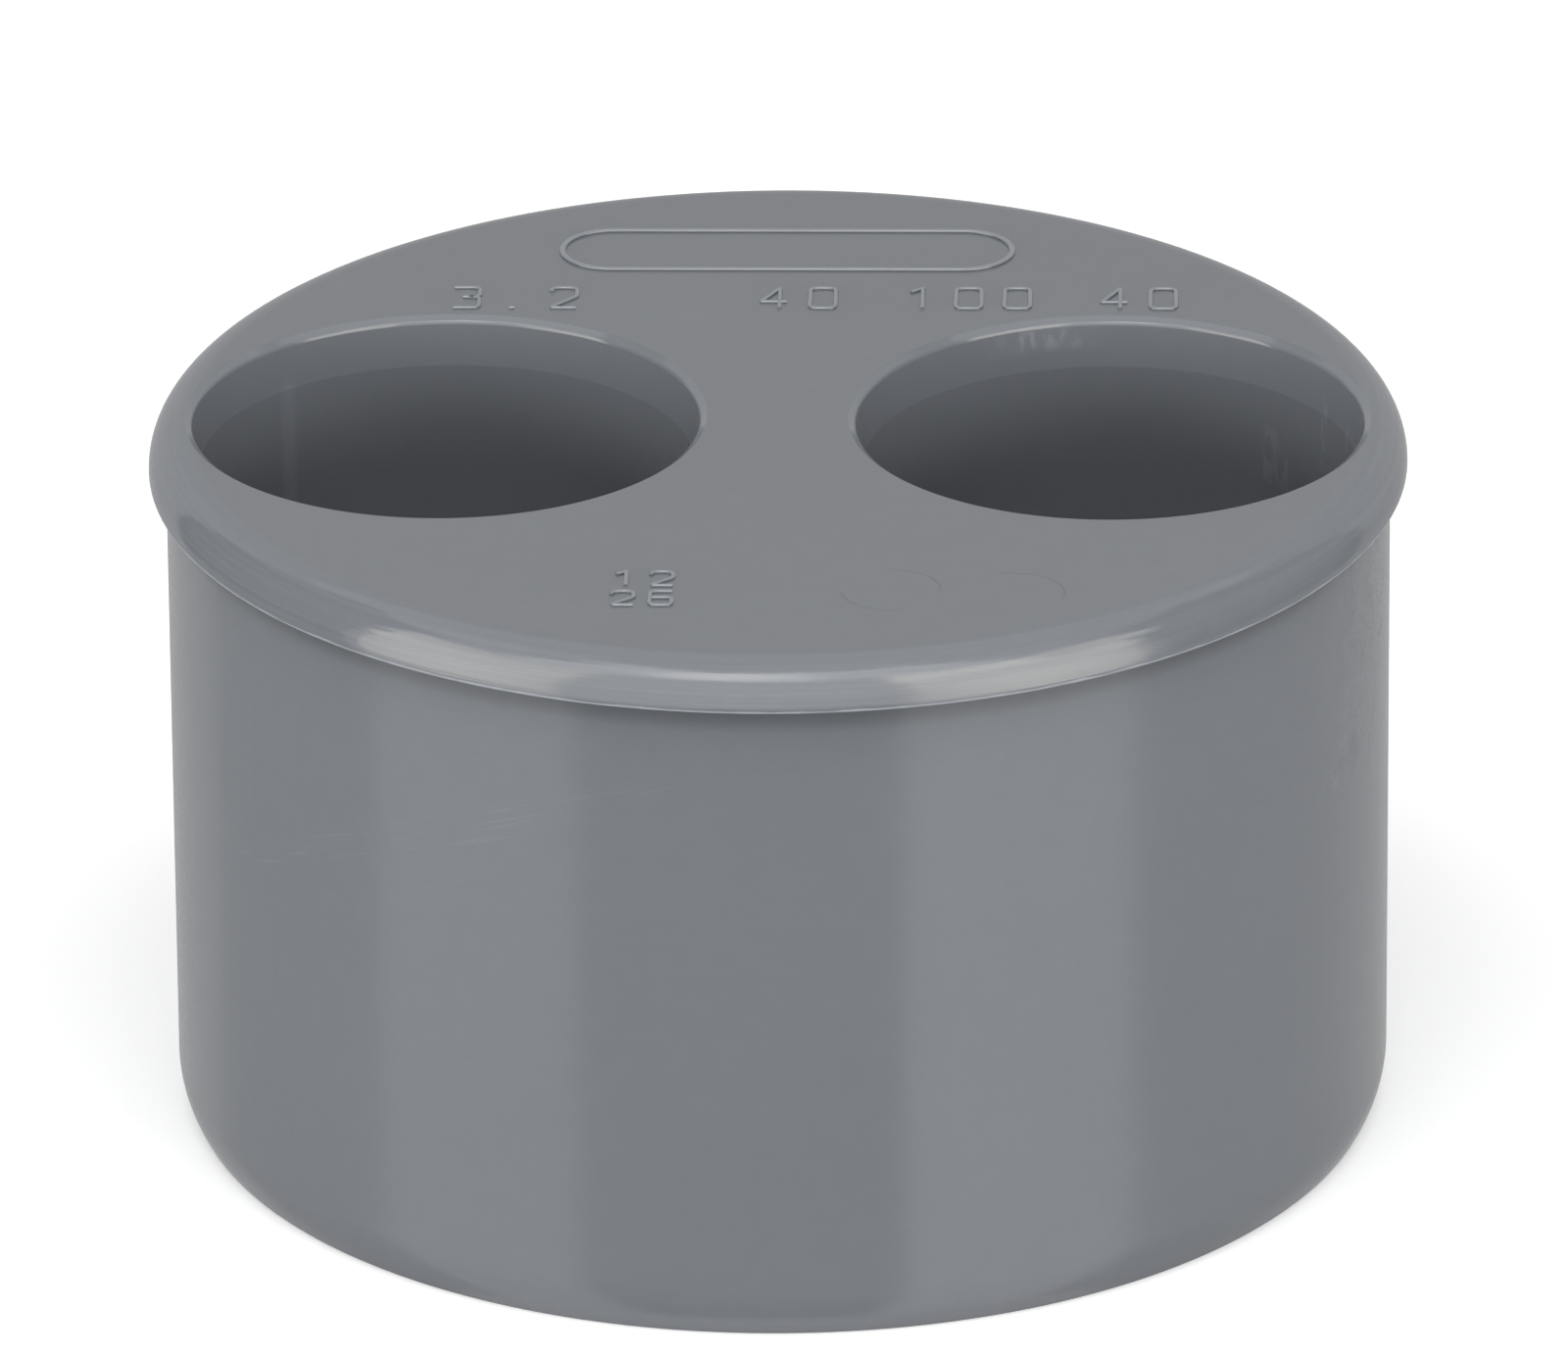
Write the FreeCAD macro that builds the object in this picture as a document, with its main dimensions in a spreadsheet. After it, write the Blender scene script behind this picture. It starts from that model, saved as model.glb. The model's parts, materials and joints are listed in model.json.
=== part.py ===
import FreeCAD, Part
import math
import os
import Sketcher

# Double reducing bushing, moulded in one piece: a plug for a large pipe socket that carries
# two smaller solvent sockets side by side. Millimetres, +Z up, origin at the centre of the
# open lower end, both sockets on the X axis.

os.makedirs("parts", exist_ok=True)
doc = FreeCAD.newDocument("double_reducing_bushing")

# Driving sizes
SIZES = [
    ("overall_height", 59.5, "from the open end of the spigot to the top face"),
    ("spigot_diameter", 100.0, "outside of the spigot, nominal size of the large pipe system"),
    ("spigot_wall", 3.2, "spigot wall where the two socket tubes end"),
    ("spigot_end_wall", 3.0, "spigot wall at the open end, thinner by the draft of the hollow"),
    ("lead_in_height", 4.4, "height of the rounded lead-in at the open end"),
    ("lead_in_inset", 1.15, "how far the lead-in draws in by the open end"),
    ("end_edge_chamfer", 0.5, "inner edge of the open end"),
    ("rim_overhang", 1.4, "how far the rim stands out past the spigot"),
    ("rim_height", 3.9, "rim, from its seat on the large socket to the top face"),
    ("rim_edge_round", 3.65, "upper outer edge of the rim"),
    ("rim_lower_chamfer", 0.2, "lower outer edge of the rim"),
    ("rim_land", 0.05, "least straight side left between the rim's rounding and its chamfer"),
    ("plate_thickness", 4.0, "top plate between the sockets"),
    ("pipe_diameter", 40.0, "outside of the small pipe that each socket takes"),
    ("socket_clearance", 0.15, "radial gap between the small pipe and its socket"),
    ("socket_depth", 26.0, "from the top face to the pipe stop"),
    ("socket_outer_wall", 2.75, "thinnest wall, between a socket and the outside of the spigot"),
    ("socket_lead_in_depth", 4.1, "depth at which the tapered lead-in meets the socket"),
    ("socket_lead_in_widening", 0.57, "how much wider in radius the lead-in is at its top"),
    ("mouth_chamfer_width", 0.64, "chamfer round the mouth, across"),
    ("mouth_chamfer_depth", 0.46, "chamfer round the mouth, down"),
    ("tube_wall", 2.6, "wall of a socket tube inside the hollow"),
    ("stop_thickness", 3.5, "ring below the socket that stops the pipe"),
    ("stop_lip", 2.15, "how far the stop reaches in from the socket's wall"),
    ("web_thickness", 3.0, "web that ties the two tubes together"),
    ("web_flat", 1.0, "least flat width of the web between the tubes' roundings"),
    ("pocket_outer_wall", 4.0, "wall between a side pocket and the outside of the spigot"),
    ("pocket_corner_round", 2.0, "upright corners of the side pockets"),
    ("pocket_root_chamfer", 1.2, "where the pocket walls meet the top plate"),
    ("tube_end_chamfer", 0.4, "lower edges of the tubes, the web and the stops"),
    ("border_length", 38.2, "raised border on the top face, between the outsides of its ends"),
    ("border_width", 9.1, "raised border, between the outsides of its straight lines"),
    ("border_line", 0.7, "width of the border's line"),
    ("border_height", 0.25, "how far the border stands out of the top face"),
    ("border_inset", 10.4, "from the outside of the spigot in to the border, at the back"),
]

sheet = doc.addObject("Spreadsheet::Sheet", "sizes")
for row, (alias, number, note) in enumerate(SIZES, start=1):
    sheet.set(f"A{row}", note)
    sheet.set(f"B{row}", str(number))
    sheet.setAlias(f"B{row}", alias)
doc.recompute()

# Places worked out from the driving sizes, as expressions that the sketches are bound to
TOP = "sizes.overall_height"
SPIGOT_R = "sizes.spigot_diameter / 2"
RIM_R = f"({SPIGOT_R} + sizes.rim_overhang)"
RIM_BOTTOM = f"({TOP} - sizes.rim_height)"
RIM_ROUND = ("min(sizes.rim_edge_round;"
             " sizes.rim_height - sizes.rim_lower_chamfer - sizes.rim_land)")
SOCKET_R = "(sizes.pipe_diameter / 2 + sizes.socket_clearance)"
SOCKET_X = f"({SPIGOT_R} - sizes.socket_outer_wall - {SOCKET_R})"
LEAD_R = f"({SOCKET_R} + sizes.socket_lead_in_widening)"
MOUTH_R = f"({LEAD_R} + sizes.mouth_chamfer_width)"
STOP_R = f"({SOCKET_R} - sizes.stop_lip)"
STOP_TOP = f"({TOP} - sizes.socket_depth)"
TUBE_END = f"({STOP_TOP} - sizes.stop_thickness)"
TUBE_R = f"({SOCKET_R} + sizes.tube_wall)"
PLATE_BOTTOM = f"({TOP} - sizes.plate_thickness)"
POCKET_R = f"({SPIGOT_R} - sizes.pocket_outer_wall)"
CORNER_R = "sizes.pocket_corner_round"
TUBES_MEET = (f"sqrt(max(0; ({TUBE_R} + {CORNER_R})^2 - ({SOCKET_X} - sizes.web_flat / 2)^2))"
              f" - {CORNER_R}")
WEB_HALF = f"max(sizes.web_thickness / 2; {TUBES_MEET})"
BORDER_Y = f"({SPIGOT_R} - sizes.border_inset - sizes.border_width / 2)"
BORDER_END_X = "(sizes.border_length / 2 - sizes.border_width / 2)"


def value(expression):
    """The number that an expression on the sheet gives."""
    return float(sheet.evalExpression(expression))


def origin_feature(body, role):
    """A plane or an axis of the body's own origin."""
    return next(item for item in body.Origin.OriginFeatures if item.Role == role)


def new_sketch(body, name, plane):
    """An empty sketch on one of the body's origin planes."""
    sketch = body.newObject("Sketcher::SketchObject", name)
    sketch.AttachmentSupport = [(origin_feature(body, plane), "")]
    sketch.MapMode = "FlatFace"
    return sketch


def bind(sketch, name, constraint, expression):
    """Adds a measured constraint and ties it to the sheet."""
    index = sketch.addConstraint(constraint)
    sketch.renameConstraint(index, name)
    sketch.setExpression("Constraints." + name, expression)


def place(sketch, label, geometry, point, x, y):
    """Ties a point of the sketch to a place; a coordinate of "0" lies on the sketch's axis."""
    if x == "0":
        sketch.addConstraint(Sketcher.Constraint("PointOnObject", geometry, point, -2))
    else:
        across = Sketcher.Constraint("DistanceX", -1, 1, geometry, point, value(x))
        bind(sketch, label + "_x", across, x)
    if y == "0":
        sketch.addConstraint(Sketcher.Constraint("PointOnObject", geometry, point, -1))
    else:
        upward = Sketcher.Constraint("DistanceY", -1, 1, geometry, point, value(y))
        bind(sketch, label + "_y", upward, y)


def tangent_arc(start, end, heading):
    """The arc from start to end that leaves start along heading, and its two point numbers."""
    chord = end - start
    side = FreeCAD.Vector(-heading.y, heading.x, 0)
    reach = chord.Length**2 / (2 * side.dot(chord))
    centre = start + side * reach
    first = math.atan2(start.y - centre.y, start.x - centre.x)
    last = math.atan2(end.y - centre.y, end.x - centre.x)
    turns_left = reach > 0
    if not turns_left:
        first, last = last, first
    circle = Part.Circle(centre, FreeCAD.Vector(0, 0, 1), abs(reach))
    arc = Part.ArcOfCircle(circle, first, last)
    return arc, (1, 2) if turns_left else (2, 1)


def draw_outline(sketch, corners):
    """Draws a closed outline of named corners (name, x, y). Where a corner has a fourth item,
    "arc", the side that leaves it is an arc, tangent to the side that arrives there."""
    points = [FreeCAD.Vector(value(corner[1]), value(corner[2]), 0) for corner in corners]
    sides = []
    for index, corner in enumerate(corners):
        start = points[index]
        end = points[(index + 1) % len(points)]
        if len(corner) == 4:
            heading = (start - points[index - 1]).normalize()
            shape, ends = tangent_arc(start, end, heading)
        else:
            shape, ends = Part.LineSegment(start, end), (1, 2)
        sides.append((sketch.addGeometry(shape, False), ends))
    for index, corner in enumerate(corners):
        before, before_ends = sides[index - 1]
        after, after_ends = sides[index]
        kind = "Tangent" if len(corner) == 4 else "Coincident"
        joint = Sketcher.Constraint(kind, before, before_ends[1], after, after_ends[0])
        sketch.addConstraint(joint)
        place(sketch, corner[0], after, after_ends[0], corner[1], corner[2])


def edges_where(shape, test):
    """Names of the edges that pass a test."""
    return [f"Edge{index}" for index, edge in enumerate(shape.Edges, start=1) if test(edge)]


def at_height(edge, height):
    """True where the whole edge lies at one height."""
    box = edge.BoundBox
    return abs(box.ZMin - height) < 1e-4 and abs(box.ZMax - height) < 1e-4


def chamfer_edges(body, name, test, size):
    """Chamfers the edges of the body's tip that pass a test."""
    base = body.Tip
    names = edges_where(base.Shape, test)
    if not names:
        raise RuntimeError(name + " found no edge")
    chamfer = body.newObject("PartDesign::Chamfer", name)
    chamfer.Base = (base, names)
    chamfer.setExpression("Size", size)
    body.Tip = chamfer
    doc.recompute()


def cut_away(feature, body):
    """Makes a cutting feature the tip, and stops if it takes nothing off the body."""
    body.Tip = feature
    doc.recompute()
    if feature.Shape.Volume > feature.BaseFeature.Shape.Volume - 1.0:
        raise RuntimeError(feature.Name + " cuts nothing")


def draw_slot(sketch, label, radius, end_x, centre_y):
    """Draws two straight lines along X joined by half circles of one radius, about X = 0."""
    r, x, y = value(radius), value(end_x), value(centre_y)
    half_turn = math.pi / 2
    axis = FreeCAD.Vector(0, 0, 1)
    right_circle = Part.Circle(FreeCAD.Vector(x, y, 0), axis, r)
    left_circle = Part.Circle(FreeCAD.Vector(-x, y, 0), axis, r)
    right = sketch.addGeometry(Part.ArcOfCircle(right_circle, -half_turn, half_turn), False)
    left = sketch.addGeometry(Part.ArcOfCircle(left_circle, half_turn, 3 * half_turn), False)
    back_line = Part.LineSegment(FreeCAD.Vector(x, y + r, 0), FreeCAD.Vector(-x, y + r, 0))
    front_line = Part.LineSegment(FreeCAD.Vector(-x, y - r, 0), FreeCAD.Vector(x, y - r, 0))
    back = sketch.addGeometry(back_line, False)
    front = sketch.addGeometry(front_line, False)
    for first, second in ((right, back), (back, left), (left, front), (front, right)):
        sketch.addConstraint(Sketcher.Constraint("Tangent", first, 2, second, 1))
    sketch.addConstraint(Sketcher.Constraint("Equal", right, left))
    sketch.addConstraint(Sketcher.Constraint("Symmetric", right, 3, left, 3, -2))
    place(sketch, label + "_end", right, 3, end_x, centre_y)
    bind(sketch, label + "_radius", Sketcher.Constraint("Radius", right, r), radius)


def make_plug(body):
    """Outer form, turned about Z: rim with its rounded edge, spigot and rounded lead-in."""
    sketch = new_sketch(body, "plug_outline", "XZ_Plane")
    draw_outline(sketch, [
        ("top_centre", "0", TOP),
        ("rim_top", f"{RIM_R} - {RIM_ROUND}", TOP, "arc"),
        ("rim_side", RIM_R, f"{TOP} - {RIM_ROUND}"),
        ("rim_lower_side", RIM_R, f"{RIM_BOTTOM} + sizes.rim_lower_chamfer"),
        ("rim_lower_end", f"{RIM_R} - sizes.rim_lower_chamfer", RIM_BOTTOM),
        ("rim_seat", SPIGOT_R, RIM_BOTTOM),
        ("lead_in_top", SPIGOT_R, "sizes.lead_in_height", "arc"),
        ("lead_in_end", f"{SPIGOT_R} - sizes.lead_in_inset", "0"),
        ("end_centre", "0", "0"),
    ])
    plug = body.newObject("PartDesign::Revolution", "plug")
    plug.Profile = sketch
    plug.ReferenceAxis = (origin_feature(body, "Z_Axis"), [""])
    plug.Angle = 360
    body.Tip = plug
    doc.recompute()


def make_hollow(body):
    """Round hollow inside the spigot, open at the lower end, up to the ends of the tubes."""
    sketch = new_sketch(body, "hollow_outline", "XZ_Plane")
    draw_outline(sketch, [
        ("open_centre", "0", "0"),
        ("open_edge", f"{SPIGOT_R} - sizes.spigot_end_wall + sizes.end_edge_chamfer", "0"),
        ("end_wall", f"{SPIGOT_R} - sizes.spigot_end_wall", "sizes.end_edge_chamfer"),
        ("roof_edge", f"{SPIGOT_R} - sizes.spigot_wall", TUBE_END),
        ("roof_centre", "0", TUBE_END),
    ])
    hollow = body.newObject("PartDesign::Groove", "hollow")
    hollow.Profile = sketch
    hollow.ReferenceAxis = (origin_feature(body, "Z_Axis"), [""])
    hollow.Angle = 360
    cut_away(hollow, body)


def make_side_pocket(body):
    """Pocket between the tubes, the web and the spigot wall, up to the top plate."""
    sketch = new_sketch(body, "side_pocket_outline", "XY_Plane")
    socket_x = value(SOCKET_X)
    tube_r = value(TUBE_R)
    pocket_r = value(POCKET_R)
    corner_r = value(CORNER_R)
    web_y = value(WEB_HALF)

    # Centres of the two roundings on the +X side, by the web and by the spigot wall
    near_y = web_y + corner_r
    near_x = socket_x - math.sqrt((tube_r + corner_r)**2 - near_y**2)
    far_x = ((pocket_r - corner_r)**2 + socket_x**2 - (tube_r + corner_r)**2) / (2 * socket_x)
    far_y = math.sqrt((pocket_r - corner_r)**2 - far_x**2)
    near_turn = math.atan2(near_y, socket_x - near_x)
    far_turn = math.atan2(far_y, far_x - socket_x)
    wall_turn = math.atan2(far_y, far_x)

    def arc(x, y, radius, first, last):
        circle = Part.Circle(FreeCAD.Vector(x, y, 0), FreeCAD.Vector(0, 0, 1), radius)
        return sketch.addGeometry(Part.ArcOfCircle(circle, first, last), False)

    straight = Part.LineSegment(FreeCAD.Vector(-near_x, web_y, 0), FreeCAD.Vector(near_x, web_y, 0))
    web = sketch.addGeometry(straight, False)
    near = arc(near_x, near_y, corner_r, -math.pi / 2, -near_turn)
    tube = arc(socket_x, 0, tube_r, far_turn, math.pi - near_turn)
    far = arc(far_x, far_y, corner_r, far_turn - math.pi, wall_turn)
    wall = arc(0, 0, pocket_r, wall_turn, math.pi - wall_turn)
    far_twin = arc(-far_x, far_y, corner_r, math.pi - wall_turn, 2 * math.pi - far_turn)
    tube_twin = arc(-socket_x, 0, tube_r, near_turn, math.pi - far_turn)
    near_twin = arc(-near_x, near_y, corner_r, math.pi + near_turn, 3 * math.pi / 2)

    for first, first_end, second, second_end in (
        (web, 2, near, 1), (near, 2, tube, 2), (tube, 1, far, 1), (far, 2, wall, 1),
        (wall, 2, far_twin, 1), (far_twin, 2, tube_twin, 2), (tube_twin, 1, near_twin, 1),
        (near_twin, 2, web, 1),
    ):
        joint = Sketcher.Constraint("Tangent", first, first_end, second, second_end)
        sketch.addConstraint(joint)
    sketch.addConstraint(Sketcher.Constraint("Horizontal", web))
    sketch.addConstraint(Sketcher.Constraint("Coincident", wall, 3, -1, 1))
    sketch.addConstraint(Sketcher.Constraint("Symmetric", tube, 3, tube_twin, 3, -2))
    for rounding in (near_twin, far, far_twin):
        sketch.addConstraint(Sketcher.Constraint("Equal", near, rounding))
    sketch.addConstraint(Sketcher.Constraint("Equal", tube, tube_twin))
    place(sketch, "tube_centre", tube, 3, SOCKET_X, "0")
    bind(sketch, "tube_radius", Sketcher.Constraint("Radius", tube, tube_r), TUBE_R)
    bind(sketch, "wall_radius", Sketcher.Constraint("Radius", wall, pocket_r), POCKET_R)
    bind(sketch, "corner_radius", Sketcher.Constraint("Radius", near, corner_r), CORNER_R)
    web_place = Sketcher.Constraint("DistanceY", -1, 1, web, 1, web_y)
    bind(sketch, "web_half", web_place, WEB_HALF)

    pocket = body.newObject("PartDesign::Pocket", "side_pocket")
    pocket.Profile = sketch
    pocket.Reversed = True
    pocket.setExpression("Length", PLATE_BOTTOM)
    cut_away(pocket, body)
    return pocket


def make_socket(body):
    """One socket, turned about its own axis: mouth, lead-in, pipe wall, stop and through way."""
    sketch = new_sketch(body, "socket_outline", "XZ_Plane")

    def reach(radius):
        return f"{SOCKET_X} + {radius}"

    draw_outline(sketch, [
        ("mouth_centre", SOCKET_X, TOP),
        ("mouth", reach(MOUTH_R), TOP),
        ("lead_in_top", reach(LEAD_R), f"{TOP} - sizes.mouth_chamfer_depth"),
        ("lead_in_end", reach(SOCKET_R), f"{TOP} - sizes.socket_lead_in_depth"),
        ("stop_root", reach(SOCKET_R), STOP_TOP),
        ("stop_edge", reach(STOP_R), STOP_TOP),
        ("way_out", reach(STOP_R), TUBE_END),
        ("way_centre", SOCKET_X, TUBE_END),
    ])
    # The closing side of the outline is the socket's own axis
    socket = body.newObject("PartDesign::Groove", "socket")
    socket.Profile = sketch
    socket.ReferenceAxis = (sketch, ["Edge8"])
    socket.Angle = 360
    cut_away(socket, body)
    return socket


def make_border(body):
    """Raised border with round ends on the top face, behind the sockets."""
    sketch = new_sketch(body, "border_outline", "XY_Plane")
    sketch.setExpression("AttachmentOffset.Base.z", TOP)
    doc.recompute()
    draw_slot(sketch, "outside", "sizes.border_width / 2", BORDER_END_X, BORDER_Y)
    draw_slot(sketch, "inside", "sizes.border_width / 2 - sizes.border_line", BORDER_END_X, BORDER_Y)
    before = body.Tip.Shape.Volume
    border = body.newObject("PartDesign::Pad", "border")
    border.Profile = sketch
    border.setExpression("Length", "sizes.border_height")
    body.Tip = border
    doc.recompute()
    if border.Shape.Volume < before + 1.0:
        raise RuntimeError("border adds nothing")


def make_bushing():
    """The whole moulding as one body."""
    body = doc.addObject("PartDesign::Body", "bushing_body")
    body.Label = "bushing_body"
    make_plug(body)
    make_hollow(body)
    pocket = make_side_pocket(body)
    socket = make_socket(body)

    twin = body.newObject("PartDesign::PolarPattern", "twin")
    twin.Originals = [pocket, socket]
    twin.Axis = (origin_feature(body, "Z_Axis"), [""])
    twin.Angle = 360
    twin.Occurrences = 2
    cut_away(twin, body)

    plate_bottom = value(PLATE_BOTTOM)
    tube_end = value(TUBE_END)
    hollow_width = 2 * value(f"{SPIGOT_R} - sizes.spigot_wall")

    def on_tube_ends(edge):
        return at_height(edge, tube_end) and abs(edge.BoundBox.XLength - hollow_width) > 1e-3

    chamfer_edges(body, "pocket_roots", lambda edge: at_height(edge, plate_bottom),
                  f"min(sizes.pocket_root_chamfer; 0.9 * {CORNER_R})")
    chamfer_edges(body, "tube_ends", on_tube_ends, "sizes.tube_end_chamfer")
    make_border(body)
    body.Placement = FreeCAD.Placement()
    return body


bodies = [make_bushing()]
doc.recompute()

for item in doc.Objects:
    if "Invalid" in item.State or "Error" in item.State:
        raise RuntimeError(f"{item.Name} failed: {item.State}")
for body in bodies:
    if body.Shape.isNull() or not body.Shape.isValid():
        raise RuntimeError(body.Label + " has no valid shape")
for body in bodies:
    body.Shape.exportStep(f"parts/{body.Label}.step")
    box = body.Shape.optimalBoundingBox()
    print(body.Label, "solids", len(body.Shape.Solids), "faces", len(body.Shape.Faces),
          "volume", round(body.Shape.Volume, 1),
          "box", [round(length, 3) for length in (box.XLength, box.YLength, box.ZLength)])
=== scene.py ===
import json
import math

import bmesh
import bpy
from mathutils import Matrix, Vector


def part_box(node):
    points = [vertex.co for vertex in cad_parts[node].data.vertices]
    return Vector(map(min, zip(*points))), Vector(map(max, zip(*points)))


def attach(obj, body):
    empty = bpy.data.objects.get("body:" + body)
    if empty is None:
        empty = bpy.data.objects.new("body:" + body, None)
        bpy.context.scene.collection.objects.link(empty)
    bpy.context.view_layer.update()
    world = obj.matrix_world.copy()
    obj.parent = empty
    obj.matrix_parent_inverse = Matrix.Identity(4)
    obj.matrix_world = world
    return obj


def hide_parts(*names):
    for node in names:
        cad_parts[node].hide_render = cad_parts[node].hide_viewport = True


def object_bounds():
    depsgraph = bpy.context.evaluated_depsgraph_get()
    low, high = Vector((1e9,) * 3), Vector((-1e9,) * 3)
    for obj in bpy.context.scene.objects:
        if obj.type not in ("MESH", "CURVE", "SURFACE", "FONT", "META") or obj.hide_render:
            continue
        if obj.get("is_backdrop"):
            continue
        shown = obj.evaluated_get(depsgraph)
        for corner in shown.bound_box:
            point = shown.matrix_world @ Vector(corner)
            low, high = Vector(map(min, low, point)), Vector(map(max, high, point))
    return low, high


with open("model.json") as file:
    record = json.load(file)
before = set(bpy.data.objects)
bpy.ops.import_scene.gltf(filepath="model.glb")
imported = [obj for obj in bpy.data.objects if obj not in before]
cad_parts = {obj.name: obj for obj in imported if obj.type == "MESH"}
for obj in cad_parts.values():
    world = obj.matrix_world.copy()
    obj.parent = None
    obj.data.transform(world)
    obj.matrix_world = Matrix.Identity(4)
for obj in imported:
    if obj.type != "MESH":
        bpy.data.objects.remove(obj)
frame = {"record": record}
cad_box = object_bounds()

# A plug of grey PVC for a large waste pipe socket, with two smaller pipe sockets side by side.
# Forms are written in millimetres and become metres where a mesh is made. +Z is up, both
# sockets stand on the X axis, and the front is towards -Y.

MM = 0.001

# Sizes that the frame gives
mounts = {mount["name"]: mount for mount in frame["record"]["mounts"]}
body_low, body_high = (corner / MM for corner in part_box("bushing_body"))
socket_mount = mounts["socket_right"]
SPIGOT_R = mounts["spigot"]["dims"]["r_mm"]
SOCKET_R = socket_mount["dims"]["r_mm"]
SOCKET_X = socket_mount["pos_m"][0] / MM
SOCKET_MIDDLE = socket_mount["pos_m"][2] / MM
SOCKET_HALF = socket_mount["dims"]["length_mm"] / 2
RIM_BOTTOM = mounts["rim_seat"]["pos_m"][2] / MM
RIM_R = body_high.x

# Top face and rim
BORDER_HEIGHT = 0.25
TOP = body_high.z - BORDER_HEIGHT
RIM_ROUND = 3.65
RIM_LOWER_ROUND = 0.22
RIM_ROOT_ROUND = 0.12

# Spigot
LEAD_IN_HEIGHT = 4.4
LEAD_IN_INSET = 1.15
END_WALL = 3.0
END_CHAMFER = 0.5
ROOF_WALL = 3.2
EDGE_ROUND = 0.12

# Sockets
LEAD_WIDENING = 0.57
MOUTH_WIDTH = 0.64
MOUTH_DEPTH = 0.46
MOUTH_ROUND = 0.5
STOP_LIP = 2.15
STOP_THICKNESS = 3.5
STOP_ROOT_ROUND = 0.3
TUBE_WALL = 2.6
TUBE_END_ROUND = 0.4
LEAD_BOTTOM = SOCKET_MIDDLE + SOCKET_HALF
STOP_TOP = SOCKET_MIDDLE - SOCKET_HALF
TUBE_END = STOP_TOP - STOP_THICKNESS
STOP_R = SOCKET_R - STOP_LIP
LEAD_R = SOCKET_R + LEAD_WIDENING
MOUTH_R = LEAD_R + MOUTH_WIDTH
TUBE_R = SOCKET_R + TUBE_WALL

# Side pockets between the tubes, the web and the spigot wall
PLATE = 4.0
POCKET_WALL = 4.0
POCKET_CORNER = 2.0
POCKET_ROOT_ROUND = 1.2
WEB_HALF = 1.5
POCKET_R = SPIGOT_R - POCKET_WALL
PLATE_BOTTOM = TOP - PLATE

# How finely round forms are divided
ROUND_STEP = math.radians(5)
LETTER_STEP = math.radians(15)
PLUG_STEPS = 240
SOCKET_STEPS = 168
POCKET_STEP = math.radians(2)
RIDGE_ROUND_STEPS = 4

# How far a cutter reaches past the form that it cuts, how far a profile holds on to the face
# where it ends, and how near two points are one (mm)
PAST = 1.0
HOLD = 0.1
SAME = 1e-4


class Wire:
    """An output in a node tree. Sums written with it add Math nodes, or Vector Math nodes."""

    def __init__(self, graph, socket):
        self.graph = graph
        self.socket = socket

    def __getitem__(self, name):
        """Another output of the same node."""
        return Wire(self.graph, self.socket.node.outputs[name])

    def __add__(self, other):
        return self.graph.maths("ADD", self, other)

    def __radd__(self, other):
        return self.graph.maths("ADD", other, self)

    def __sub__(self, other):
        return self.graph.maths("SUBTRACT", self, other)

    def __rsub__(self, other):
        return self.graph.maths("SUBTRACT", other, self)

    def __mul__(self, other):
        return self.graph.maths("MULTIPLY", self, other)

    def __rmul__(self, other):
        return self.graph.maths("MULTIPLY", other, self)

    def __truediv__(self, other):
        return self.graph.maths("DIVIDE", self, other)

    def __rtruediv__(self, other):
        return self.graph.maths("DIVIDE", other, self)

    def __pow__(self, other):
        return self.graph.maths("POWER", self, other)

    def split(self):
        """The three parts of a vector."""
        parts = self.graph.node("ShaderNodeSeparateXYZ", {}, {0: self})
        return parts["X"], parts["Y"], parts["Z"]


class Graph:
    """A node tree that is being written."""

    def __init__(self, tree):
        self.tree = tree
        tree.nodes.clear()

    def node(self, kind, settings, sockets):
        """Adds a node: its settings are set first, then the values or links of its sockets."""
        made = self.tree.nodes.new(kind)
        for name, setting in settings.items():
            setattr(made, name, setting)
        for key, content in sockets.items():
            socket = self.find(made.inputs, key)
            if isinstance(content, Wire):
                self.tree.links.new(content.socket, socket)
            else:
                socket.default_value = content
        live = [socket for socket in made.outputs if socket.enabled]
        return Wire(self, live[0]) if live else None

    def find(self, sockets, key):
        """A socket by its number, or the one in use with that name."""
        if isinstance(key, int):
            return sockets[key]
        return next(socket for socket in sockets if socket.enabled and socket.name == key)

    def maths(self, operation, *terms):
        """A Math node, or a Vector Math node where a term is a vector."""
        vector = any(isinstance(t, Wire) and t.socket.type == "VECTOR" for t in terms)
        if not vector:
            return self.node("ShaderNodeMath", {"operation": operation}, dict(enumerate(terms)))
        terms = [t if isinstance(t, (Wire, tuple)) else (t, t, t) for t in terms]
        return self.node("ShaderNodeVectorMath", {"operation": operation}, dict(enumerate(terms)))

    def vector(self, x, y, z):
        """A vector from three numbers or wires."""
        return self.node("ShaderNodeCombineXYZ", {}, {"X": x, "Y": y, "Z": z})

    def fade(self, wire, start, end):
        """0 up to start, 1 from end, and smooth between them; start may be the larger one."""
        settings = {"interpolation_type": "SMOOTHSTEP"}
        return self.node("ShaderNodeMapRange", settings,
                         {"Value": wire, "From Min": start, "From Max": end})

    def between(self, wire, low, high, soft):
        """1 from low to high, fading to 0 over soft outside them."""
        return self.fade(wire, low - soft, low) * self.fade(wire, high + soft, high)

    def noise(self, place, detail=2.0, roughness=0.5):
        """Smooth noise that swings round 0, one wave to each unit of place."""
        sockets = {"Vector": place, "Scale": 1.0, "Detail": detail, "Roughness": roughness}
        return self.node("ShaderNodeTexNoise", {}, sockets) - 0.5


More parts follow.
